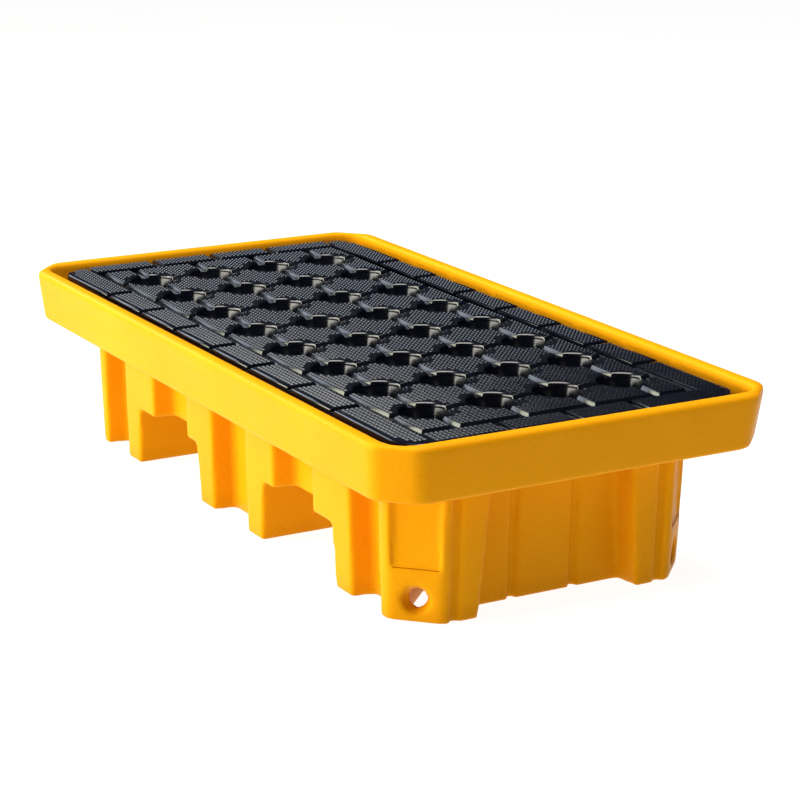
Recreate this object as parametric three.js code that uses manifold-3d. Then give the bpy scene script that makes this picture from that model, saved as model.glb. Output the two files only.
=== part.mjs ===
// Spill containment pallet: a moulded sump with fork pockets, a lift-out deck grating,
// and the loose columns that carry the deck inside the sump.
// Millimetres, +Z up. Origin: bottom centre. X runs along the length, Y across the width.
import * as THREE from "three";
import { mergeVertices } from "three/addons/utils/BufferGeometryUtils.js";
import Module from "manifold-3d";

const wasm = await Module();
wasm.setup();

// ---------------------------------------------------------------- driving dimensions

// Whole pallet
const length = 1300; // over the rim, along X
const width = 680; // over the rim, along Y
const height = 300; // floor to the top of the rim
const wall = 7; // moulded wall of the sump

// Rim band
const rimHeight = 86;
const rimThickness = 26;
const rimLean = 9; // how far the band leans in at its lower edge
const rimChamfer = 50; // cut corner, seen from above
const rimOuterEdge = 7; // bevel of the outer top edge
const rimInnerEdge = 3; // bevel of the inner top edge
const ledgeThickness = 8; // shelf under the deck, at the foot of the band

// Sump body below the rim
const bodyInset = 76; // rim's top edge in to the top of the body wall
const bodyDraft = 7; // the body is this much smaller all round at the floor
const fluteDepth = 36;
const fluteSlope = 6; // each flute side slants by this much
const endRecess = 45; // middle of the end wall, back from the corner posts
const postChamfer = 60; // cut corner of a corner post
const postWidth = 74; // corner post along the long side, at the floor
const postFlare = 12; // extra post width at the top
const postEnd = 115; // corner post along the end wall, at the floor
const postEndFlare = 28; // extra end width of a post at the top
const grooveWidth = 20; // upright grooves of the end wall
const grooveDepth = 8;
const grooveSpacing = 108; // between the two grooves of the middle wall
const postLand = 1; // flat left on the inside between a corner cut and the post's groove
const centreFlute = 132; // flute in the middle of a long side

// Feet and fork pockets
const centreFoot = 224; // along X, at the floor
const endFoot = 216; // along X, at the floor
const endRib = 45; // rib between an end foot's flute and the fork pocket
const pocketHeight = 98;
const pocketDraft = 8; // a pocket is this much narrower on each side at its roof
const centreTab = 38; // roof tab beside the centre foot
const endTab = 60; // roof tab beside an end foot

// Tie-down holes through the corner posts
const tieHeight = 34;
const tieBore = 26;
const tieMouth = 42;
const tieMouthDepth = 12;
const tieWall = 18; // post wall that the hole goes through
const tieRelief = 130; // open-bottomed relief behind that wall
const tieReliefWidth = 38;
const tieReliefHeight = 62;

// Deck grating
const deckEndGap = 12; // rim to deck at the ends
const deckSideGap = 24; // rim to deck along the sides
const deckDrop = 5; // deck top below the rim top
const deckCorner = 45; // corner radius
const deckBevel = 6;
const columns = 8; // drain holes along X
const rows = 4; // drain holes along Y
const endBorder = 146; // last hole row to the deck's end
const sideBorder = 117; // last hole row to the deck's side
const holeDiameter = 76;
const tubeWall = 4;
const tubeDepth = 48; // deck top to the lower end of a hole's tube
const channelWidth = 10;
const channelDepth = 7;
const borderStrip = 49; // between the ring channel and the deck's edge
const plateThickness = 12; // at the pads
const ribThickness = 4;
const ribDepth = 50; // deck top to the lower edge of the ribs
const skirtThickness = 5;

// Support columns
const columnDiameter = 80;
const columnWall = 5;
const flangeDiameter = 96;
const flangeThickness = 8;
const spigotHeight = 12;
const spigotClearance = 2;

const gap = 0.3; // between pieces that rest on each other
const circleSides = 16;
const holeSides = 12;
const columnSides = 20;
const past = 1; // how far a cutting solid runs past a face

// ---------------------------------------------------------------- solids

/** Closed three.js geometry to a manifold solid. */
function solid(geometry) {
  const bare = geometry.clone();
  bare.deleteAttribute("normal");
  bare.deleteAttribute("uv");
  const merged = mergeVertices(bare, 1e-4);
  return new wasm.Manifold(new wasm.Mesh({
    numProp: 3,
    vertProperties: new Float32Array(merged.attributes.position.array),
    triVerts: new Uint32Array(merged.index.array),
  }));
}

function box(low, high) {
  const size = high.map((value, axis) => value - low[axis]);
  const geometry = new THREE.BoxGeometry(...size);
  geometry.translate(...low.map((value, axis) => value + size[axis] / 2));
  return solid(geometry);
}

/** Upright cylinder. */
function cylinder(radius, bottom, top, x, y, sides = circleSides) {
  const geometry = new THREE.CylinderGeometry(radius, radius, top - bottom, sides);
  geometry.rotateX(Math.PI / 2);
  geometry.translate(x, y, (top + bottom) / 2);
  return solid(geometry);
}

/** Stacked outlines, each with the same number of points, joined by flat sides. */
function loft(levels) {
  const base = levels[0].outline;
  const shape = new THREE.Shape(base.map(([x, y]) => new THREE.Vector2(x, y)));
  const steps = levels.length - 1;
  const geometry = new THREE.ExtrudeGeometry(shape, { depth: steps, steps, bevelEnabled: false });
  const position = geometry.attributes.position;
  const nearest = (x, y) => {
    const distances = base.map((point) => Math.hypot(point[0] - x, point[1] - y));
    return distances.indexOf(Math.min(...distances));
  };
  for (let vertex = 0; vertex < position.count; vertex += 1) {
    const level = levels[Math.round(position.getZ(vertex))];
    const [x, y] = level.outline[nearest(position.getX(vertex), position.getY(vertex))];
    position.setXYZ(vertex, x, y, level.z);
  }
  return solid(geometry);
}

/** Section in the XZ plane, run along Y from -reach to +reach. */
function alongY(points, reach) {
  const shape = new THREE.Shape(points.map(([x, z]) => new THREE.Vector2(x, z)));
  const geometry = new THREE.ExtrudeGeometry(shape, { depth: 2 * reach, bevelEnabled: false });
  geometry.rotateX(Math.PI / 2);
  geometry.translate(0, reach, 0);
  return solid(geometry);
}

function union(parts) {
  return parts.reduce((sum, part) => sum.add(part));
}

/** One quarter of an outline (x > 0, y > 0, from the X axis round to the Y axis), mirrored to all four. */
function mirrored(quarter) {
  const back = [...quarter].reverse();
  return [
    ...quarter,
    ...back.map(([x, y]) => [-x, y]),
    ...quarter.map(([x, y]) => [-x, -y]),
    ...back.map(([x, y]) => [x, -y]),
  ];
}

/** Moves every side of a counterclockwise outline inwards. */
function inset(outline, distance) {
  const count = outline.length;
  return outline.map((point, index) => {
    const before = outline[(index + count - 1) % count];
    const after = outline[(index + 1) % count];
    const inward = (from, to) => {
      const run = Math.hypot(to[0] - from[0], to[1] - from[1]);
      return [-(to[1] - from[1]) / run, (to[0] - from[0]) / run];
    };
    const [ax, ay] = inward(before, point);
    const [bx, by] = inward(point, after);
    const stretch = distance / (1 + ax * bx + ay * by);
    return [point[0] + (ax + bx) * stretch, point[1] + (ay + by) * stretch];
  });
}

// ---------------------------------------------------------------- places worked out from the dimensions

const rimBottom = height - rimHeight;
const ledgeTop = rimBottom + ledgeThickness;
const bodyHalfX = length / 2 - bodyInset;
const bodyHalfY = width / 2 - bodyInset;
const postGrooveInset = postChamfer + wall + postLand + grooveWidth / 2; // in from the long side
const pocketInner = centreFoot / 2;
const pocketOuter = bodyHalfX - bodyDraft - endFoot;
const pocketCentre = (pocketInner + pocketOuter) / 2;
const crown = pocketHeight + wall; // top of the raised sump floor over a pocket
const deckTop = height - deckDrop;
const deckBottom = ledgeTop + gap;
const deckHalfX = length / 2 - rimThickness - deckEndGap;
const deckHalfY = width / 2 - rimThickness - deckSideGap;
const pitchX = (2 * (deckHalfX - endBorder)) / (columns - 1);
const pitchY = (2 * (deckHalfY - sideBorder)) / (rows - 1);
const holeX = Array.from({ length: columns }, (_, index) => (index - (columns - 1) / 2) * pitchX);
const holeY = Array.from({ length: rows }, (_, index) => (index - (rows - 1) / 2) * pitchY);
const padX = Array.from({ length: columns - 1 }, (_, index) => (index - (columns - 2) / 2) * pitchX);
const padY = Array.from({ length: rows - 1 }, (_, index) => (index - (rows - 2) / 2) * pitchY);
const ringX = deckHalfX - borderStrip - channelWidth / 2;
const ringY = deckHalfY - borderStrip - channelWidth / 2;
const columnTop = deckTop - ribDepth - gap;
const columnPlaces = [
  ...[-1, 1].map((side) => ({ x: 0, y: side * pitchY, floor: wall })),
  ...[-1, 1].flatMap((end) => [-1, 1].map((side) => (
    { x: end * pocketCentre, y: side * pitchY, floor: crown }))),
];

// ---------------------------------------------------------------- sump

/** Fluted plan of the body wall; share 0 is at the floor, share 1 under the rim. */
function bodyOutline(share) {
  const hx = bodyHalfX - bodyDraft * (1 - share);
  const hy = bodyHalfY - bodyDraft * (1 - share);
  const middle = hx - endRecess;
  const deep = hy - fluteDepth;
  const post = hx - postWidth - postFlare * share;
  const postSide = hy - postEnd - postEndFlare * share;
  const postGroove = hy - postGrooveInset;
  const rib = pocketOuter + endRib;
  const half = grooveWidth / 2;
  const groove = (x, y) => [
    [x, y - half],
    [x - grooveDepth, y - half / 2],
    [x - grooveDepth, y + half / 2],
    [x, y + half],
  ];
  const flute = (right, left) => [
    [right, hy],
    [right - fluteSlope, deep],
    [left + fluteSlope, deep],
    [left, hy],
  ];
  return mirrored([
    ...groove(middle, grooveSpacing / 2),
    [middle, postSide - fluteSlope],
    [hx, postSide],
    ...groove(hx, postGroove),
    [hx, hy - postChamfer],
    [hx - postChamfer, hy],
    ...flute(post, rib),
    ...flute(pocketOuter - endTab, pocketInner + centreTab),
    [centreFlute / 2, hy],
    [centreFlute / 2 - fluteSlope, deep],
  ]);
}

/** Rectangle with cut corners, a set distance inside the rim's top outline. */
function rimOutline(distance) {
  const hx = length / 2;
  const hy = width / 2;
  return inset(mirrored([[hx, hy - rimChamfer], [hx - rimChamfer, hy]]), distance);
}

/** Tapered section of a fork pocket, grown by a wall where the sump floor covers it. */
function pocketSection(centre, grow) {
  const half = (pocketOuter - pocketInner) / 2 + grow;
  const roof = pocketHeight + grow;
  return [
    [centre - half, -past],
    [centre + half, -past],
    [centre + half - pocketDraft, roof],
    [centre - half + pocketDraft, roof],
  ];
}

/** Solid turned so that local +X points out of the corner post at (signX, signY). */
function atCorner(geometry, signX, signY) {
  const reach = postChamfer / 2 + bodyDraft;
  const x = bodyHalfX - reach;
  const y = bodyHalfY - reach;
  geometry.rotateZ(Math.atan2(signY, signX));
  geometry.translate(signX * x, signY * y, 0);
  return solid(geometry);
}

function tieHole(signX, signY) {
  const bore = new THREE.CylinderGeometry(tieBore / 2, tieBore / 2, tieRelief, circleSides);
  bore.rotateZ(Math.PI / 2);
  bore.translate(-tieRelief / 2 + tieWall, 0, tieHeight);
  const flare = (tieMouth - tieBore) / 2;
  const mouth = new THREE.CylinderGeometry(
    tieBore / 2, tieMouth / 2 + flare, 2 * tieMouthDepth, circleSides);
  mouth.rotateZ(Math.PI / 2);
  mouth.translate(0, 0, tieHeight);
  return union([
    atCorner(bore, signX, signY),
    atCorner(mouth, signX, signY),
    tieRecess(signX, signY, 0),
  ]);
}

/** Open-bottomed relief behind the post wall, grown by a wall where the sump covers it. */
function tieRecess(signX, signY, grow) {
  const relief = new THREE.BoxGeometry(
    tieRelief - tieWall + 2 * grow, tieReliefWidth + 2 * grow, tieReliefHeight + past + grow);
  relief.translate(-(tieRelief + tieWall) / 2, 0, (tieReliefHeight + grow - past) / 2);
  return atCorner(relief, signX, signY);
}

function makeSump() {
  const floor = bodyOutline(0);
  const top = bodyOutline(1);
  const body = loft([{ z: 0, outline: floor }, { z: rimBottom + past, outline: top }]);
  const band = loft([
    { z: rimBottom, outline: rimOutline(rimLean) },
    { z: height - rimOuterEdge, outline: rimOutline(0) },
    { z: height, outline: rimOutline(rimOuterEdge) },
  ]);
  const mouth = loft([
    { z: ledgeTop, outline: rimOutline(rimThickness) },
    { z: height - rimInnerEdge, outline: rimOutline(rimThickness) },
    { z: height + past, outline: rimOutline(rimThickness - rimInnerEdge - past) },
  ]);
  let hollow = loft([
    { z: wall, outline: inset(floor, wall) },
    { z: rimBottom, outline: inset(top, wall) },
    { z: ledgeTop + past, outline: inset(top, wall) },
  ]);
  const centres = [-pocketCentre, pocketCentre];
  const corners = [[1, 1], [-1, 1], [-1, -1], [1, -1]];
  for (const centre of centres) {
    hollow = hollow.subtract(alongY(pocketSection(centre, wall), width));
  }
  for (const [signX, signY] of corners) {
    hollow = hollow.subtract(tieRecess(signX, signY, wall));
  }
  let sump = union([body, band]).subtract(mouth).subtract(hollow);
  for (const centre of centres) {
    sump = sump.subtract(alongY(pocketSection(centre, 0), width));
  }
  for (const [signX, signY] of corners) {
    sump = sump.subtract(tieHole(signX, signY));
  }
  const spigot = columnDiameter / 2 - columnWall - spigotClearance;
  for (const place of columnPlaces) {
    const low = place.floor - past;
    sump = sump.add(cylinder(spigot, low, place.floor + spigotHeight, place.x, place.y));
  }
  return sump;
}

// ---------------------------------------------------------------- deck grating

/** Rounded rectangle. */
function roundedOutline(halfX, halfY, radius) {
  const steps = 4;
  const arc = Array.from({ length: steps + 1 }, (_, index) => {
    const angle = (index / steps) * (Math.PI / 2);
    const x = halfX - radius + radius * Math.cos(angle);
    const y = halfY - radius + radius * Math.sin(angle);
    return [x, y];
  });
  return mirrored(arc);
}

function deckOutline(distance) {
  return roundedOutline(deckHalfX - distance, deckHalfY - distance, deckCorner - distance);
}

function makeDeck() {
  const plateBottom = deckTop - plateThickness;
  let deck = loft([
    { z: plateBottom, outline: deckOutline(0) },
    { z: deckTop - deckBevel, outline: deckOutline(0) },
    { z: deckTop, outline: deckOutline(deckBevel) },
  ]);
  const skirt = loft([
    { z: deckBottom, outline: deckOutline(0) },
    { z: plateBottom + past, outline: deckOutline(0) },
  ]).subtract(loft([
    { z: deckBottom - past, outline: deckOutline(skirtThickness) },
    { z: plateBottom + 2 * past, outline: deckOutline(skirtThickness) },
  ]));
  const ribBottom = deckTop - ribDepth;
  const half = ribThickness / 2;
  const endX = deckHalfX - skirtThickness / 2;
  const endY = deckHalfY - skirtThickness / 2;
  const ribTop = plateBottom + past;
  const ribs = [
    ...holeX.map((x) => box([x - half, -endY, ribBottom], [x + half, endY, ribTop])),
    ...[...holeY, ...padY].map((y) => box([-endX, y - half, ribBottom], [endX, y + half, ribTop])),
  ];
  const holePlaces = holeX.flatMap((x) => holeY.map((y) => [x, y]));
  const tubeBottom = deckTop - tubeDepth;
  const tubeRadius = holeDiameter / 2 + tubeWall;
  const tubes = holePlaces.map(([x, y]) => cylinder(tubeRadius, tubeBottom, ribTop, x, y, holeSides));
  deck = union([deck, skirt, ...ribs, ...tubes]);
  for (const [x, y] of holePlaces) {
    const bore = cylinder(holeDiameter / 2, tubeBottom - past, deckTop + past, x, y, holeSides);
    deck = deck.subtract(bore);
  }
  // channels between the pads, the ring channel, and the notches of the border strip
  const low = deckTop - channelDepth;
  const high = deckTop + past;
  const wide = channelWidth / 2;
  const outX = deckHalfX + past;
  const outY = deckHalfY + past;
  const channels = [
    ...holeX.map((x) => box([x - wide, -ringY, low], [x + wide, ringY, high])),
    ...holeY.map((y) => box([-ringX, y - wide, low], [ringX, y + wide, high])),
    ...[-ringX, ringX].map((x) => box([x - wide, -ringY - wide, low], [x + wide, ringY + wide, high])),
    ...[-ringY, ringY].map((y) => box([-ringX, y - wide, low], [ringX, y + wide, high])),
    ...padX.flatMap((x) => [
      box([x - wide, ringY, low], [x + wide, outY, high]),
      box([x - wide, -outY, low], [x + wide, -ringY, high]),
    ]),
    ...padY.flatMap((y) => [
      box([ringX, y - wide, low], [outX, y + wide, high]),
      box([-outX, y - wide, low], [-ringX, y + wide, high]),
    ]),
  ];
  return deck.subtract(union(channels));
}

// ---------------------------------------------------------------- support columns

/** Flanged tube that drops over a spigot of the sump floor and ends under the deck's ribs. */
function columnGeometry(bottom, top) {
  const inner = columnDiameter / 2 - columnWall;
  const outer = columnDiameter / 2;
  const flange = flangeDiameter / 2;
  const profile = [
    [inner, bottom],
    [flange, bottom],
    [flange, bottom + flangeThickness],
    [outer, bottom + flangeThickness],
    [outer, top - flangeThickness],
    [flange, top - flangeThickness],
    [flange, top],
    [inner, top],
    [inner, bottom],
  ];
  const geometry = new THREE.LatheGeometry(profile.map(([r, z]) => new THREE.Vector2(r, z)), columnSides);
  geometry.rotateX(Math.PI / 2);
  return geometry;
}

// ---------------------------------------------------------------- assembly

const yellowPlastic = new THREE.MeshStandardMaterial({ color: 0xf5bd12, roughness: 0.5, metalness: 0 });
const blackPlastic = new THREE.MeshStandardMaterial({ color: 0x14151a, roughness: 0.4, metalness: 0 });
const greyPlastic = new THREE.MeshStandardMaterial({ color: 0x2b2d31, roughness: 0.6, metalness: 0 });

/** Flat-sided mesh geometry from a manifold solid. */
function geometryOf(result) {
  const mesh = result.getMesh();
  const geometry = new THREE.BufferGeometry();
  geometry.setAttribute("position", new THREE.BufferAttribute(new Float32Array(mesh.vertProperties), 3));
  geometry.setIndex(new THREE.BufferAttribute(new Uint32Array(mesh.triVerts), 1));
  return geometry;
}

const group = new THREE.Group();

function addMesh(name, geometry, material) {
  const mesh = new THREE.Mesh(geometry, material);
  mesh.name = name;
  group.add(mesh);
  return mesh;
}

addMesh("sump", geometryOf(makeSump()), yellowPlastic);
addMesh("deck_grating", geometryOf(makeDeck()), blackPlastic);
columnPlaces.forEach((place, index) => {
  const bottom = place.floor + gap;
  const geometry = geometryOf(solid(columnGeometry(bottom, columnTop)));
  const column = addMesh(`support_column_${index + 1}`, geometry, greyPlastic);
  column.position.set(place.x, place.y, 0);
});

export default group;
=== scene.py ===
# %% [markdown]
# # Spill containment pallet
# A low yellow sump, moulded in one piece from polyethylene, carries a loose black drain grating.
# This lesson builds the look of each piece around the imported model, which stays the fixed frame:
# the sump from tapered blocks, the grating from bevelled pads, the hidden columns as turned tubes.

# %% Load the frame
import math

import bmesh
import bpy
from mathutils import Matrix, Vector


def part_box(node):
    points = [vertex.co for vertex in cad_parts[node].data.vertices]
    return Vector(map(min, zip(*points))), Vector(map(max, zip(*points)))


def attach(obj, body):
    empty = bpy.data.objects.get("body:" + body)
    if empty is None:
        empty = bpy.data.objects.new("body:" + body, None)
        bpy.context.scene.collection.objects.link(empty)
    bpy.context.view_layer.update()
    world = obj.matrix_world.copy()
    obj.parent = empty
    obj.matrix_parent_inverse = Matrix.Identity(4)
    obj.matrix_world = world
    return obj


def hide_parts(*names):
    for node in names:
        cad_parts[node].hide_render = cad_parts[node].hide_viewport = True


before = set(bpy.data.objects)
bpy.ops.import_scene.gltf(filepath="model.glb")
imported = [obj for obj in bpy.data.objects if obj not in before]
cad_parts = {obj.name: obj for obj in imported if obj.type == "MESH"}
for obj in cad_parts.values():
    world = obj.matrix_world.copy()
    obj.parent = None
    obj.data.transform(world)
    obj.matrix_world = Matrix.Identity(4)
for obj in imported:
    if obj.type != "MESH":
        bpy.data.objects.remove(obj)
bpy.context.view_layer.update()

# %% [markdown]
# The camera comes first, because every later choice is judged through it. It stands off the corner
# between the near long side and the right-hand end, a little above the rim, with a long lens.

# %% Camera
focal_length = 111.1  # for a 36 mm sensor
camera_azimuth = math.radians(59.75)
camera_elevation = math.radians(15.94)
camera_roll = math.radians(0.545)
camera_distance = 4.0647
camera_side_shift = 0.0492  # the view's centre, right of the pallet's middle
camera_lift = 0.0165  # and above it
aim_height = 0.15

back = Vector((
    math.sin(camera_azimuth) * math.cos(camera_elevation),
    -math.cos(camera_azimuth) * math.cos(camera_elevation),
    math.sin(camera_elevation),
))
level = Vector((math.cos(camera_azimuth), math.sin(camera_azimuth), 0))
rise = back.cross(level)
right = level * math.cos(camera_roll) + rise * math.sin(camera_roll)
up = rise * math.cos(camera_roll) - level * math.sin(camera_roll)
aim = Vector((0, 0, aim_height)) + right * camera_side_shift + up * camera_lift
turn = Matrix((right, up, back)).transposed().to_4x4()
bpy.ops.object.camera_add(location=aim + back * camera_distance)
camera = bpy.context.object
camera.name = "camera"
camera.rotation_euler = turn.to_euler()
camera.data.sensor_width = 36
camera.data.lens = focal_length
bpy.context.scene.camera = camera
print("camera stands at", [round(value, 3) for value in camera.location])

# %% [markdown]
# All solids start as a primitive and are shaped in edit mode. The helpers below keep those steps
# short: one adds a block, one selects faces or edges by a test, and the others apply a modifier,
# cut one solid by another, or join a list of solids.


# %% Modelling helpers
def clear():
    """Leaves edit mode and selects nothing."""
    if bpy.context.object and bpy.context.object.mode == "EDIT":
        bpy.ops.object.mode_set(mode="OBJECT")
    bpy.ops.object.select_all(action="DESELECT")


def alone(piece):
    """Makes piece the only selected object."""
    clear()
    piece.select_set(True)
    bpy.context.view_layer.objects.active = piece
    return piece


def settle(piece):
    """Puts the piece's place, turn and size into its mesh."""
    alone(piece)
    bpy.ops.object.transform_apply(location=True, rotation=True, scale=True)
    return piece


def block(name, low, high):
    """Box between two corners, in metres."""
    clear()
    centre = [(a + b) / 2 for a, b in zip(low, high)]
    size = [b - a for a, b in zip(low, high)]
    bpy.ops.mesh.primitive_cube_add(size=1, location=centre, scale=size)
    piece = bpy.context.object
    piece.name = name
    return settle(piece)


def pick(piece, kind, test):
    """Enters edit mode with only the faces, edges or vertices that pass the test selected."""
    alone(piece)
    bpy.ops.object.mode_set(mode="EDIT")
    bpy.ops.mesh.select_mode(type={"faces": "FACE", "edges": "EDGE", "verts": "VERT"}[kind])
    bpy.ops.mesh.select_all(action="DESELECT")
    mesh = bmesh.from_edit_mesh(piece.data)
    chosen = [part for part in getattr(mesh, kind) if test(part)]
    for part in chosen:
        part.select_set(True)
    mesh.select_flush_mode()
    bmesh.update_edit_mesh(piece.data)
    return len(chosen)


def face_towards(axis, sign):
    return lambda face: face.normal[axis] * sign > 0.9


def upright(edge):
    a, b = edge.verts[0].co, edge.verts[1].co
    return abs(a.z - b.z) > 4 * math.hypot(a.x - b.x, a.y - b.y)


def level_edge_at(height):
    return lambda edge: all(abs(vert.co.z - height) < 1e-5 for vert in edge.verts)


def slope(piece, axis, sign, spread=(1, 1, 1), shift=(0, 0, 0)):
    """Resizes and moves the face on one side of a block, which gives it draft."""
    pick(piece, "faces", face_towards(axis, sign))
    bpy.ops.transform.resize(value=spread)
    bpy.ops.transform.translate(value=shift)
    clear()
    return piece


def bevel(piece, test, width, segments=1):
    if pick(piece, "edges", test):
        bpy.ops.mesh.bevel(offset=width, segments=segments, affect="EDGES")
    clear()
    return piece


def apply(piece, kind, **settings):
    """Adds a modifier and applies it."""
    alone(piece)
    modifier = piece.modifiers.new(kind.title(), kind)
    for name, value in settings.items():
        setattr(modifier, name, value)
    bpy.ops.object.modifier_apply(modifier=modifier.name)
    return piece


def cut(piece, cutter, operation="DIFFERENCE", solver="EXACT"):
    apply(piece, "BOOLEAN", object=cutter, operation=operation, solver=solver)
    bpy.data.objects.remove(cutter)
    return piece


def join(name, parts):
    clear()
    for part in parts:
        part.select_set(True)
    bpy.context.view_layer.objects.active = parts[0]
    bpy.ops.object.join()
    joined = bpy.context.object
    joined.name = name
    return joined


def turned(name, x, y, profile, segments=44):
    """Round solid drawn up through (radius, height) steps from a filled ring."""
    radius, level_z = profile[0]
    clear()
    bpy.ops.mesh.primitive_circle_add(vertices=segments, radius=radius, location=(x, y, level_z),
                                      fill_type="NGON")
    piece = settle(bpy.context.object)
    piece.name = name
    bpy.ops.object.mode_set(mode="EDIT")
    bpy.ops.mesh.select_all(action="SELECT")
    for next_radius, next_z in profile[1:]:
        bpy.ops.mesh.extrude_region_move(TRANSFORM_OT_translate={"value": (0, 0, next_z - level_z)})
        share = next_radius / radius
        bpy.ops.transform.resize(value=(share, share, 1), center_override=(x, y, next_z))
        radius, level_z = next_radius, next_z
    bpy.ops.mesh.select_all(action="SELECT")
    bpy.ops.mesh.normals_make_consistent(inside=False)
    clear()
    return piece


def triangles(piece):
    piece.data.calc_loop_triangles()
    return len(piece.data.loop_triangles)


# %% [markdown]
# The sump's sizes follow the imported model: the whole pallet gives length, width and height, and the
# rest are the moulding's own sizes, in metres.

# %% Sizes of the sump
sump_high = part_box("sump")[1]
half_x, half_y, height = sump_high.x, sump_high.y, sump_high.z
wall = 0.007
rim_height, rim_thickness, rim_lean = 0.086, 0.026, 0.009
rim_chamfer, rim_edge = 0.050, 0.008
ledge_thickness = 0.008
body_inset, body_draft = 0.076, 0.007
flute_depth, flute_slope = 0.036, 0.006
end_recess, post_chamfer = 0.045, 0.060
post_width, post_flare = 0.074, 0.012
post_end, post_end_flare = 0.115, 0.028
groove_width, groove_depth, groove_spacing = 0.020, 0.008, 0.108
post_groove_inset, centre_flute = 0.078, 0.132
centre_foot, end_foot, end_rib = 0.224, 0.216, 0.045
pocket_height, pocket_draft = 0.098, 0.008
centre_tab, end_tab = 0.038, 0.060
tie_height, tie_bore, tie_mouth, tie_mouth_depth = 0.034, 0.026, 0.042, 0.012
tie_wall, tie_relief, tie_relief_width, tie_relief_height = 0.018, 0.130, 0.038, 0.062
recess_height, recess_depth = 0.082, 0.0014
post_rounding, rim_rounding = 0.007, 0.012
spigot_radius, spigot_height = 0.033, 0.012
crease_half, crease_width = 0.035, 0.0014
over = 0.010  # how far a cutting block runs past a face

rim_bottom = height - rim_height
ledge_top = rim_bottom + ledge_thickness
foot_x, foot_y = half_x - body_inset - body_draft, half_y - body_inset - body_draft
pocket_inner, pocket_outer = centre_foot / 2, foot_x - end_foot
pocket_centre = (pocket_inner + pocket_outer) / 2
print("body at the floor", round(2 * foot_x, 3), "x", round(2 * foot_y, 3), "m")

# %% [markdown]
# The body wall under the rim is fluted: upright channels are pressed into the long sides, the ends
# are set back between corner posts, and narrow grooves stiffen the end walls. Each is a tapered
# block cut out of a tapered body. The same blocks, grown by the wall, are kept out of the hollow,
# so the inside follows the outside as it does in a rotational moulding.


# %% Cutting blocks of the body
def side_flute(x_low, x_high, side, grow, flare=0.0):
    """Channel in a long side; flare moves its outer edge as it rises."""
    back_y = foot_y - flute_depth - grow
    low, high = x_low - grow, x_high + grow
    reach = foot_y + 4 * over
    ys = sorted((side * back_y, side * reach))
    flute = block("flute", (low, ys[0], -over), (high, ys[1], ledge_top + over))
    spread = 2 * flute_slope * (reach - back_y) / flute_depth
    slope(flute, 1, -side, spread=(1 - spread / (high - low), 1, 1))
    slope(flute, 2, 1, shift=(flare / 2, side * body_draft, 0))
    return flute


def end_notch(end, grow):
    """Set-back middle of an end wall, narrower at the top because the posts flare."""
    half = foot_y - post_end + grow
    back_x = foot_x - end_recess - grow
    reach = foot_x + 4 * over
    xs = sorted((end * back_x, end * reach))
    notch = block("notch", (xs[0], -half, -over), (xs[1], half, ledge_top + over))
    slope(notch, 0, -end, spread=(1, 1 - flute_slope / half, 1))
    top = (half - post_end_flare + body_draft) / half
    slope(notch, 2, 1, spread=(1, top, 1), shift=(end * body_draft, 0, 0))
    return notch


def end_groove(end, face_x, y, grow):
    """Narrow upright groove in a wall that faces along X."""
    half = groove_width / 2 + grow / 2
    depth = groove_depth + grow
    reach = face_x + over
    xs = sorted((end * (face_x - depth), end * reach))
    groove = block("groove", (xs[0], y - half, -over), (xs[1], y + half, ledge_top + over))
    slope(groove, 0, -end, spread=(1, 0.5, 1))
    slope(groove, 2, 1, shift=(end * body_draft, 0, 0))
    return groove


def fork_pocket(side, grow):
    """Tunnel for a fork, narrower at its roof."""
    x = side * pocket_centre
    half = (pocket_outer - pocket_inner) / 2 + grow
    pocket = block("pocket", (x - half, -half_y, -over), (x + half, half_y, pocket_height + grow))
    return slope(pocket, 2, 1, spread=((half - pocket_draft) / half, 1, 1))


def corner_turn(piece, sign_x, sign_y):
    """Turns a piece made along X so that it looks out of a corner post's cut face."""
    reach = post_chamfer / 2
    piece.rotation_euler.z = math.atan2(sign_y, sign_x)
    piece.location = (sign_x * (foot_x - reach), sign_y * (foot_y - reach), 0)
    return settle(piece)


def tie_pocket(sign_x, sign_y, grow):
    """Open-bottomed relief behind the wall that a tie-down hole goes through."""
    half = tie_relief_width / 2 + grow
    relief = block("relief", (-tie_relief - grow, -half, -over),
                   (-tie_wall + grow, half, tie_relief_height + grow))
    return corner_turn(relief, sign_x, sign_y)


def post_recess(sign_x, sign_y, grow):
    """Shallow step in a corner post's cut face, above the tie-down hole."""
    half = post_chamfer / math.sqrt(2) - 0.006 + grow
    recess = block("recess", (-recess_depth - grow, -half, recess_height - grow),
                   (over, half, ledge_top + over))
    slope(recess, 2, 1, spread=(1, 1.1, 1), shift=(recess_depth / 2, 0, 0))
    return corner_turn(recess, sign_x, sign_y)


corners = [(1, 1), (-1, 1), (-1, -1), (1, -1)]


def body_cutters(grow):
    cutters = []
    for side in (-1, 1):
        cutters.append(side_flute(-centre_flute / 2, centre_flute / 2, side, grow))
        for end in (-1, 1):
            over_pocket = (pocket_inner + centre_tab, pocket_outer - end_tab)
            beside_post = (pocket_outer + end_rib, foot_x - post_width)
            for near, far in (over_pocket, beside_post):
                low, high = sorted((end * near, end * far))
                flare = -end * post_flare / 2 if far == beside_post[1] else 0.0
                cutters.append(side_flute(low, high, side, grow, flare))
    for end in (-1, 1):
        cutters.append(end_notch(end, grow))
        for y in (-groove_spacing / 2, groove_spacing / 2):
            cutters.append(end_groove(end, foot_x - end_recess, y, grow))
        for side in (-1, 1):
            cutters.append(end_groove(end, foot_x, side * (foot_y - post_groove_inset), grow))
        cutters.append(fork_pocket(end, grow))
    for sign_x, sign_y in corners:
        cutters.append(post_recess(sign_x, sign_y, grow))
        if grow:
            cutters.append(tie_pocket(sign_x, sign_y, grow))
    return cutters


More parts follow.
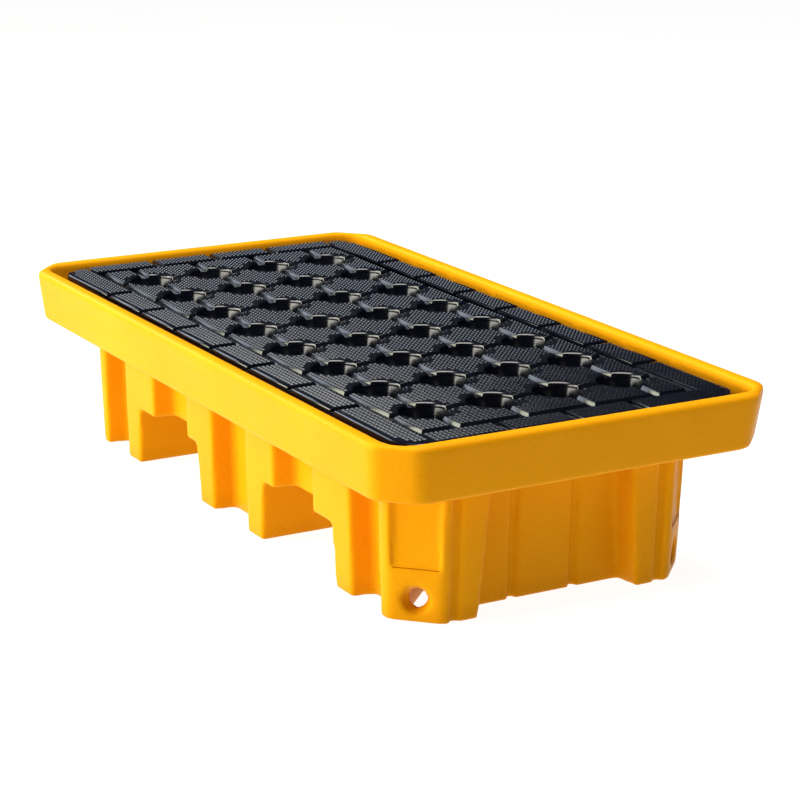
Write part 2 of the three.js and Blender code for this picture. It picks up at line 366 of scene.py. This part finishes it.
def fluted_body(name, grow, low, high):
    """Tapered, chamfered block with every flute, notch and pocket cut out of it."""
    x, y = foot_x - grow, foot_y - grow
    body = block(name, (-x, -y, low), (x, y, high))
    rise_share = (high - low) / rim_bottom
    slope(body, 2, 1, spread=(1 + body_draft * rise_share / x, 1 + body_draft * rise_share / y, 1))
    bevel(body, upright, post_chamfer - grow * (2 - math.sqrt(2)))
    bevel(body, upright, post_rounding, 2)
    for cutter in body_cutters(grow):
        cut(body, cutter)
    return body


# %% [markdown]
# The outside stops just above the rim's lower edge. The inside runs from the floor of the sump up
# past the ledge that the grating stands on.

# %% Outside and inside of the body
outside = fluted_body("sump_outside", 0.0, 0.0, rim_bottom + 0.004)
inside = fluted_body("sump_inside", wall, wall, ledge_top + over)
print("outside", triangles(outside), "triangles, inside", triangles(inside))

# %% [markdown]
# The rim is a deep band that leans in towards its lower edge, with the corners cut off. It is
# joined to the body, then the mouth for the grating and the hollow are taken out. The voxel remesh
# turns the sharp assembly into one even skin, and smoothing rolls its edges over the way the
# plastic lies in a rotational mould. Decimation then thins the flat faces only.


# %% Sump
def rim_block(name, distance, low, high, lean, chamfer, rounding=1):
    x, y = half_x - distance, half_y - distance
    band = block(name, (-x, -y, low), (x, y, high))
    slope(band, 2, -1, spread=((x - lean) / x, (y - lean) / y, 1))
    return bevel(band, upright, chamfer, rounding)


def tie_hole(sign_x, sign_y):
    clear()
    bpy.ops.mesh.primitive_cylinder_add(vertices=32, radius=tie_bore / 2, depth=tie_relief,
                                        location=(tie_wall - tie_relief / 2, 0, tie_height),
                                        rotation=(0, math.pi / 2, 0))
    bore = settle(bpy.context.object)
    flare = (tie_mouth - tie_bore) / 2
    bpy.ops.mesh.primitive_cone_add(vertices=32, radius1=tie_mouth / 2 - flare / 2,
                                    radius2=tie_mouth / 2 + flare * 0.6,
                                    depth=2 * tie_mouth_depth, location=(0, 0, tie_height),
                                    rotation=(0, math.pi / 2, 0))
    mouth = settle(bpy.context.object)
    hole = join("tie_hole", [bore, mouth])
    corner_turn(hole, sign_x, sign_y)
    return hole


sump = rim_block("sump_shell", 0, rim_bottom, height, rim_lean, rim_chamfer)
bevel(sump, upright, rim_rounding, 3)
bevel(sump, level_edge_at(height), rim_edge, 3)
cut(sump, outside, "UNION")
inner_chamfer = rim_chamfer - rim_thickness * (2 - math.sqrt(2))
mouth = rim_block("mouth", rim_thickness, ledge_top, height + over, 0, inner_chamfer, 4)
cut(sump, mouth)
cut(sump, inside)
for side in (-1, 1):
    cut(sump, fork_pocket(side, 0))
for sign_x, sign_y in corners:
    cut(sump, tie_pocket(sign_x, sign_y, 0))
    cut(sump, tie_hole(sign_x, sign_y))
column_nodes = sorted(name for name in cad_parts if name.startswith("support_column"))
for node in column_nodes:
    low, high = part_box(node)
    x, y = (low.x + high.x) / 2, (low.y + high.y) / 2
    spigot = turned("spigot", x, y, [(spigot_radius, low.z - 0.004), (spigot_radius, low.z),
                                     (spigot_radius - 0.002, low.z + spigot_height)], 32)
    cut(sump, spigot, "UNION")
print("sump before the remesh:", triangles(sump), "triangles")

voxel, most_triangles = 0.0036, 190000
apply(sump, "REMESH", mode="VOXEL", voxel_size=voxel)
print("after the remesh:", triangles(sump), "triangles")
apply(sump, "SMOOTH", factor=0.5, iterations=12)
apply(sump, "DECIMATE", ratio=min(1.0, most_triangles / triangles(sump)))
for sign_x, sign_y in corners:
    crease = block("crease", (-0.0045, -crease_half, recess_height - crease_width / 2),
                   (over, crease_half, recess_height + crease_width / 2))
    cut(sump, corner_turn(crease, sign_x, sign_y), solver="MANIFOLD")
alone(sump)
bpy.ops.object.shade_smooth_by_angle(angle=math.radians(75))
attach(sump, "pallet")
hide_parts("sump")
print("sump:", triangles(sump), "triangles")

# %% [markdown]
# The grating is one injection moulding: a plate with a deep skirt, raised pads between drain
# channels, and a tapered drain tube wherever four pads meet. It is put together here the way the
# mould is cut: a rounded slab, a bevelled pad in every cell, and a border strip. The tubes taper,
# so they catch light on the far wall.

# %% Sizes of the grating
deck_low, deck_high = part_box("deck_grating")
deck_x, deck_y = deck_high.x, deck_high.y
deck_top, deck_bottom = deck_high.z, deck_low.z
deck_corner = 0.045
columns, rows = 8, 4
end_border, side_border = 0.146, 0.117
throat_radius, hole_radius, lip_radius, lip_drop = 0.030, 0.0405, 0.0425, 0.0014
tube_wall, tube_depth = 0.003, 0.048
channel_width, channel_depth = 0.010, 0.0085
border_strip = 0.049
plate_thickness, skirt_thickness = 0.005, 0.005
rib_thickness, rib_depth = 0.004, 0.050
grip_height = 0.0022
pad_lean = 0.0038  # draft of the pads' sides
pad_bevel, edge_bevel = 0.0012, 0.0040

channel_floor = deck_top - channel_depth
pad_top = deck_top - grip_height
pitch_x = 2 * (deck_x - end_border) / (columns - 1)
pitch_y = 2 * (deck_y - side_border) / (rows - 1)
hole_x = [(index - (columns - 1) / 2) * pitch_x for index in range(columns)]
hole_y = [(index - (rows - 1) / 2) * pitch_y for index in range(rows)]
pad_x = [(index - (columns - 2) / 2) * pitch_x for index in range(columns - 1)]
pad_y = [(index - (rows - 2) / 2) * pitch_y for index in range(rows - 1)]
ring_x = deck_x - border_strip - channel_width / 2
ring_y = deck_y - border_strip - channel_width / 2
hole_places = [(x, y) for x in hole_x for y in hole_y]
half_channel = channel_width / 2
print("hole pitch", round(pitch_x, 4), "x", round(pitch_y, 4), "m")

# %% [markdown]
# The slab is a block with rounded upright edges. A smaller one is taken out of its underside, which
# leaves the plate and the skirt, and crossing ribs go back in.


# %% Slab, skirt and ribs
def rounded_slab(name, distance, low, high, segments=8):
    x, y = deck_x - distance, deck_y - distance
    slab = block(name, (-x, -y, low), (x, y, high))
    return bevel(slab, upright, deck_corner - distance, segments)


plate = rounded_slab("grating_plate", 0, deck_bottom, channel_floor)
under = channel_floor - plate_thickness
cut(plate, rounded_slab("underside", skirt_thickness, deck_bottom - over, under))
bevel(plate, level_edge_at(channel_floor), 0.001, 2)

rib_low, rib_half = deck_top - rib_depth, rib_thickness / 2
rib_reach_x, rib_reach_y = deck_x - skirt_thickness / 2, deck_y - skirt_thickness / 2
ribs = []
for x in hole_x + pad_x:
    rib = block("rib", (x - rib_half, -rib_reach_y, rib_low), (x + rib_half, rib_reach_y, under + 0.001))
    ribs.append(slope(rib, 2, -1, spread=(0.6, 1, 1)))
for y in hole_y + pad_y:
    rib = block("rib", (-rib_reach_x, y - rib_half, rib_low), (rib_reach_x, y + rib_half, under + 0.001))
    ribs.append(slope(rib, 2, -1, spread=(1, 0.6, 1)))
ribs = join("grating_ribs", ribs)
print("plate", triangles(plate), "ribs", triangles(ribs))

# %% [markdown]
# Every pad is a low block with a bevelled top. Pads that meet at a hole have a corner taken off by
# it, so all pads are laid out first, and one set of tapered plugs is cut out of them together.


# %% Pads and border strip
def pad_block(x_low, x_high, y_low, y_high, low=0.0005):
    """Raised pad with slightly leaning sides."""
    pad = block("pad", (x_low, y_low, channel_floor - low), (x_high, y_high, pad_top))
    width, length = x_high - x_low, y_high - y_low
    return slope(pad, 2, 1, spread=(1 - 2 * pad_lean / width, 1 - 2 * pad_lean / length, 1))


lines_x = [-ring_x, *hole_x, ring_x]
lines_y = [-ring_y, *hole_y, ring_y]
cells = [
    (x_low + half_channel, x_high - half_channel, y_low + half_channel, y_high - half_channel)
    for x_low, x_high in zip(lines_x, lines_x[1:])
    for y_low, y_high in zip(lines_y, lines_y[1:])
]
pads = join("pads", [pad_block(*cell) for cell in cells])

strip = rounded_slab("border_strip", 0, channel_floor - 0.002, pad_top)
bevel(strip, level_edge_at(pad_top), edge_bevel, 3)
inner_x, inner_y = ring_x + half_channel, ring_y + half_channel
cut(strip, block("opening", (-inner_x, -inner_y, deck_bottom), (inner_x, inner_y, height)))
notches = []
for x in pad_x:
    for side in (-1, 1):
        ys = sorted((side * (inner_y - over), side * (deck_y + over)))
        notch = block("gate", (x - half_channel, ys[0], channel_floor), (x + half_channel, ys[1], height))
        notches.append(slope(notch, 2, 1, spread=(1.5, 1, 1)))
for y in pad_y:
    for end in (-1, 1):
        xs = sorted((end * (inner_x - over), end * (deck_x + over)))
        notch = block("gate", (xs[0], y - half_channel, channel_floor), (xs[1], y + half_channel, height))
        notches.append(slope(notch, 2, 1, spread=(1, 1.5, 1)))
cut(strip, join("gates", notches))
print("pads", len(cells), "strip", triangles(strip))


# %% [markdown]
# A drain hole opens with a small lip, and below it a tube narrows towards its foot. The same turned
# plug cuts the pads and bores the tubes. The plate and ribs are cut a little wider, so no two cut
# walls lie on each other.

# %% Drain tubes
def at_every_hole(name, profile):
    """One turned solid, copied to every hole."""
    first = turned(name, 0, 0, profile)
    copies = []
    for x, y in hole_places:
        copy = first.copy()
        copy.data = first.data.copy()
        bpy.context.collection.objects.link(copy)
        copy.location = (x, y, 0)
        copies.append(settle(copy))
    bpy.data.objects.remove(first)
    return join(name, copies)


tube_low = deck_top - tube_depth
lip_low = pad_top - lip_drop
taper = (hole_radius - throat_radius) / (lip_low - tube_low)
lip_slope = (lip_radius - hole_radius) / lip_drop


def bores(grow):
    return at_every_hole("bores", [
        (throat_radius + grow - taper * over, tube_low - over), (hole_radius + grow, lip_low),
        (lip_radius + grow, pad_top), (lip_radius + grow + lip_slope * 0.002, pad_top + 0.002)])


tube_top = channel_floor - 0.001
tubes = at_every_hole("drain_tubes", [
    (throat_radius + tube_wall, tube_low),
    (throat_radius + tube_wall + taper * (tube_top - tube_low), tube_top)])
step_back = 0.0004  # keeps the plate's cut edge behind the tube's wall
for piece, grow in ((pads, 0), (tubes, 0), (plate, step_back), (ribs, step_back)):
    cut(piece, bores(grow))
for piece in (pads, strip):
    apply(piece, "BEVEL", width=pad_bevel, segments=2, limit_method="ANGLE",
          angle_limit=math.radians(40), use_clamp_overlap=True)
print("tubes", triangles(tubes), "pads", triangles(pads), "strip", triangles(strip))

# %% [markdown]
# The tread is a field of small pyramids. One grid per pad is added with the tread's pitch, the cells
# over a hole or an edge are deleted, and the rest is raised a little into a thin sheet. Each square
# is then inset, and poke lifts its middle into a pyramid.


# %% Pyramid tread
tread_pitch_x, tread_pitch_y = 0.0092, 0.0080
tread_margin = 0.0036
tread_gap = 0.0030  # flat left between pyramids
sheet_sink = 0.0006


def tread_field(x_low, x_high, y_low, y_high, keep):
    """Pyramids over a rectangle, where keep says that a point is on material."""
    across, along = x_high - x_low, y_high - y_low
    count_x, count_y = round(across / tread_pitch_x), round(along / tread_pitch_y)
    clear()
    bpy.ops.mesh.primitive_grid_add(
        x_subdivisions=count_x, y_subdivisions=count_y, size=1,
        location=((x_low + x_high) / 2, (y_low + y_high) / 2, pad_top - sheet_sink))
    field = bpy.context.object
    field.scale = (across, along, 1)
    settle(field)
    bare = lambda face: not all(keep(vert.co.x, vert.co.y) for vert in face.verts)
    if pick(field, "faces", bare):
        bpy.ops.mesh.delete(type="FACE")
    bpy.ops.mesh.select_all(action="SELECT")
    bpy.ops.mesh.extrude_region_move(TRANSFORM_OT_translate={"value": (0, 0, sheet_sink + 0.0001)})
    bpy.ops.mesh.inset(thickness=tread_gap / 2, use_individual=True)
    bpy.ops.mesh.poke(offset=grip_height - 0.0002)
    clear()
    return field


def clear_of_holes(x, y):
    near_x = min(abs(x - place) for place in hole_x)
    near_y = min(abs(y - place) for place in hole_y)
    return math.hypot(near_x, near_y) > lip_radius + 0.001


def on_border(x, y):
    past_x, past_y = abs(x) - (deck_x - deck_corner), abs(y) - (deck_y - deck_corner)
    if past_x > 0 and past_y > 0:
        return math.hypot(past_x, past_y) < deck_corner - tread_edge + 0.0005
    return True


tread_edge = 0.008  # smooth margin along the outer edge
fields = []
for x_low, x_high, y_low, y_high in cells:
    fields.append(tread_field(x_low + tread_margin, x_high - tread_margin,
                              y_low + tread_margin, y_high - tread_margin, clear_of_holes))
gates_x = [-deck_x + tread_edge, *pad_x, deck_x - tread_edge]
gates_y = [-ring_y - half_channel, *pad_y, ring_y + half_channel]
for low, high in zip(gates_x, gates_x[1:]):
    left = low + (tread_margin + half_channel if low in pad_x else 0)
    far = high - (tread_margin + half_channel if high in pad_x else 0)
    for side in (-1, 1):
        ys = sorted((side * (inner_y + tread_margin), side * (deck_y - tread_edge)))
        fields.append(tread_field(left, far, ys[0], ys[1], on_border))
for low, high in zip(gates_y, gates_y[1:]):
    near = low + tread_margin + (half_channel if low in pad_y else 0)
    far = high - tread_margin - (half_channel if high in pad_y else 0)
    for end in (-1, 1):
        xs = sorted((end * (inner_x + tread_margin), end * (deck_x - tread_edge)))
        fields.append(tread_field(xs[0], xs[1], near, far, on_border))
tread = join("tread", fields)
print("tread", triangles(tread), "triangles")

# %% [markdown]
# The parts of the moulding become one piece, which moves with the deck and stands for its CAD node.

# %% Grating in one piece
grating = join("drain_grating", [plate, ribs, tubes, pads, strip, tread])
alone(grating)
bpy.ops.object.shade_smooth_by_angle(angle=math.radians(28))
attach(grating, "deck")
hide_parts("deck_grating")
print("grating", triangles(grating), "triangles")

# %% [markdown]
# The columns are flanged tubes that stand over spigots inside the sump and carry the grating. They
# are drawn up from one ring of points, the way a tube is turned: the ring is extruded and resized
# at each step, then a bore is taken out and the edges are broken with a bevel.


# %% Support columns
column_radius, column_wall = 0.040, 0.005
flange_radius, flange_thickness = 0.048, 0.008


def column(name, node):
    low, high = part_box(node)
    x, y = (low.x + high.x) / 2, (low.y + high.y) / 2
    inner = column_radius - column_wall
    tube = turned(name, x, y, [
        (flange_radius, low.z), (flange_radius, low.z + flange_thickness),
        (column_radius, low.z + flange_thickness), (column_radius, high.z - flange_thickness),
        (flange_radius, high.z - flange_thickness), (flange_radius, high.z)], 56)
    cut(tube, turned("bore", x, y, [(inner, low.z - over), (inner, high.z + over)], 56))
    apply(tube, "BEVEL", width=0.0012, segments=2, limit_method="ANGLE",
          angle_limit=math.radians(50))
    alone(tube)
    bpy.ops.object.shade_smooth_by_angle(angle=math.radians(35))
    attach(tube, "pallet")
    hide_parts(node)
    return tube


supports = [column(f"column_{index + 1}", node) for index, node in enumerate(column_nodes)]
print("columns", len(supports), "with", triangles(supports[0]), "triangles each")

# %% [markdown]
# The floor is plain and pale, and it glows a little, so that it stays white all around the pallet.
# It also fills the walls below the rim with an even, dim light.

# %% Floor
clear()
bpy.ops.mesh.primitive_plane_add(size=60, location=(0, 0, -0.0005))
floor = bpy.context.object
floor.name = "studio_floor"
print("floor", floor.dimensions.x, "m square")

# %% [markdown]
# The key light is a large softbox in front of the near long side, a little to its left, so the
# right-hand end stays in half shade. A low, wide strip light gives each drain tube its bright patch,
# and a weak, cool light from the left end draws the edges of the pads. The world is almost dark,
# because the flat of the grating mirrors what is behind it.


# %% Lights
def softbox(name, place, size, power, colour=(1, 1, 1), target=(0, 0, 0.15)):
    """Rectangular area light that faces the pallet."""
    clear()
    bpy.ops.object.light_add(type="AREA", location=place)
    lamp = bpy.context.object
    lamp.name = name
    lamp.data.shape = "RECTANGLE"
    lamp.data.size, lamp.data.size_y = size
    lamp.data.energy = power
    lamp.data.color = colour
    lamp.rotation_euler = (Vector(place) - Vector(target)).to_track_quat("Z", "Y").to_euler()
    return lamp


softbox("key_light", (-2.2, -3.8, 2.3), (3.0, 2.2), 225, (0.98, 0.98, 0.76))
softbox("low_light", (-0.4, -3.95, 0.85), (4.0, 0.9), 150, (1.0, 0.97, 0.86), (0, 0, 0.3))
softbox("edge_light", (-3.7, -1.0, 2.1), (2.8, 1.9), 55, (0.80, 0.88, 1.0))
softbox("top_light", (0.3, 0.2, 4.2), (3.0, 2.4), 250, (1.0, 0.97, 0.9))
world = bpy.data.worlds.new("studio")
bpy.context.scene.world = world
world.use_nodes = True
world.node_tree.nodes["Background"].inputs["Color"].default_value = (0.85, 0.9, 1.0, 1)
world.node_tree.nodes["Background"].inputs["Strength"].default_value = 0.04
bpy.context.scene.view_settings.view_transform = "Standard"

# %% [markdown]
# Each plastic is built from noise on object coordinates: a slow drift of the colour, a fine moulded
# grain, and scuffs that only change how glossy the surface is.


# %% Material helpers
class Shade:
    """A material with its Principled shader, object coordinates and short ways to add nodes."""

    def __init__(self, name):
        self.material = bpy.data.materials.new(name)
        self.material.use_nodes = True
        self.nodes = self.material.node_tree.nodes
        self.links = self.material.node_tree.links
        self.shader = self.nodes["Principled BSDF"]
        self.place = self.nodes.new("ShaderNodeTexCoord").outputs["Object"]

    def noise(self, scale, detail=2.0, roughness=0.5, stretch=None):
        place = self.place
        if stretch:
            mapping = self.nodes.new("ShaderNodeMapping")
            mapping.inputs["Scale"].default_value = stretch
            self.links.new(place, mapping.inputs["Vector"])
            place = mapping.outputs["Vector"]
        texture = self.nodes.new("ShaderNodeTexNoise")
        texture.inputs["Scale"].default_value = scale
        texture.inputs["Detail"].default_value = detail
        texture.inputs["Roughness"].default_value = roughness
        self.links.new(place, texture.inputs["Vector"])
        return texture.outputs["Fac"]

    def ramp(self, source, *stops):
        """Colour ramp with (position, colour) stops, where a number means a grey."""
        node = self.nodes.new("ShaderNodeValToRGB")
        elements = node.color_ramp.elements
        while len(elements) < len(stops):
            elements.new(0.5)
        for element, (position, colour) in zip(elements, stops):
            element.position = position
            grey = isinstance(colour, (int, float))
            element.color = (colour,) * 3 + (1,) if grey else (*colour, 1)
        self.links.new(source, node.inputs["Fac"])
        return node.outputs["Color"]

    def mix(self, kind, share, first, second):
        node = self.nodes.new("ShaderNodeMix")
        node.data_type = "RGBA"
        node.blend_type = kind
        for socket, value in ((node.inputs["Factor"], share), (node.inputs[6], first),
                              (node.inputs[7], second)):
            if isinstance(value, bpy.types.NodeSocket):
                self.links.new(value, socket)
            else:
                socket.default_value = value
        return node.outputs[2]

    def height(self, value):
        z = self.nodes.new("ShaderNodeSeparateXYZ")
        self.links.new(self.place, z.inputs[0])
        limits = self.nodes.new("ShaderNodeMapRange")
        limits.inputs["From Min"].default_value, limits.inputs["From Max"].default_value = value
        self.links.new(z.outputs["Z"], limits.inputs["Value"])
        return limits.outputs["Result"]

    def bump(self, *layers):
        """Stacks (height source, distance in metres) layers of bump."""
        normal = None
        for source, distance in layers:
            node = self.nodes.new("ShaderNodeBump")
            node.inputs["Distance"].default_value = distance
            self.links.new(source, node.inputs["Height"])
            if normal:
                self.links.new(normal, node.inputs["Normal"])
            normal = node.outputs["Normal"]
        self.links.new(normal, self.shader.inputs["Normal"])

    def set(self, **values):
        for name, value in values.items():
            socket = self.shader.inputs[name.replace("_", " ")]
            if isinstance(value, bpy.types.NodeSocket):
                self.links.new(value, socket)
            else:
                socket.default_value = value
        return self


def finish_with(piece, shade):
    piece.data.materials.clear()
    piece.data.materials.append(shade.material)


# %% [markdown]
# The sump's yellow drifts slightly between thick and thin places. It has tiny dark specks, more
# grime close to the floor, upright scuffs, and the soft dimples of a rotational mould.

# %% Yellow polyethylene
yellow = Shade("yellow_polyethylene")
drift = yellow.ramp(yellow.noise(4.5, 3), (0.3, (0.74, 0.290, 0.0025)), (0.7, (0.80, 0.330, 0.0040)))
specks = yellow.ramp(yellow.noise(260, 2), (0.35, 0.90), (0.60, 1.0))
scuffs = yellow.noise(9, 6, 0.7, stretch=(1.0, 3.0, 14.0))
tone = yellow.mix("MULTIPLY", 0.5, drift, specks)
grime = yellow.ramp(yellow.height((0.0, 0.03)), (0.0, (0.80, 0.72, 0.66)), (1.0, 1.0))
yellow.set(Base_Color=yellow.mix("MULTIPLY", yellow.noise(14, 4), tone, grime),
           Roughness=yellow.ramp(scuffs, (0.35, 0.34), (0.70, 0.52)),
           Specular_IOR_Level=0.07, Specular_Tint=(1.0, 0.62, 0.10, 1))
yellow.bump((yellow.noise(5.5, 1), 0.004), (yellow.noise(420, 2), 0.00018))
finish_with(sump, yellow)
print("yellow plastic on", sump.name)

# %% [markdown]
# The grating's black is glossier, with a trace of dust and a very fine grain.

# %% Black polypropylene
black = Shade("black_polypropylene")
dust = black.noise(7, 5, 0.6)
black.set(Base_Color=black.ramp(dust, (0.40, (0.002, 0.0026, 0.007)), (0.72, (0.005, 0.006, 0.011))),
          Roughness=black.ramp(black.noise(16, 3, 0.5), (0.3, 0.15), (0.7, 0.20)),
          Specular_IOR_Level=0.45)
black.bump((black.noise(500, 1), 0.00001))
finish_with(grating, black)
print("black plastic on", grating.name)

# %% [markdown]
# The columns are of a dull dark grey plastic with faint marks along their length.

# %% Grey column plastic
grey = Shade("grey_column_plastic")
grey.set(Base_Color=grey.ramp(grey.noise(12, 4), (0.3, (0.045, 0.047, 0.052)), (0.7, (0.07, 0.072, 0.077))),
         Roughness=grey.ramp(grey.noise(18, 4, stretch=(1, 1, 8)), (0.3, 0.42), (0.7, 0.58)))
grey.bump((grey.noise(500, 2), 0.0001))
for support in supports:
    finish_with(support, grey)
print("grey plastic on", len(supports), "columns")

# %% [markdown]
# The floor's paint is pale and glows evenly.

# %% Floor paint
paint = Shade("floor_paint")
paint.set(Base_Color=paint.ramp(paint.noise(1.5, 3), (0.3, 0.22), (0.7, 0.25)), Roughness=0.85,
          Specular_IOR_Level=0.1, Emission_Color=(1, 1, 1, 1), Emission_Strength=0.93)
finish_with(floor, paint)
print("paint on", floor.name)
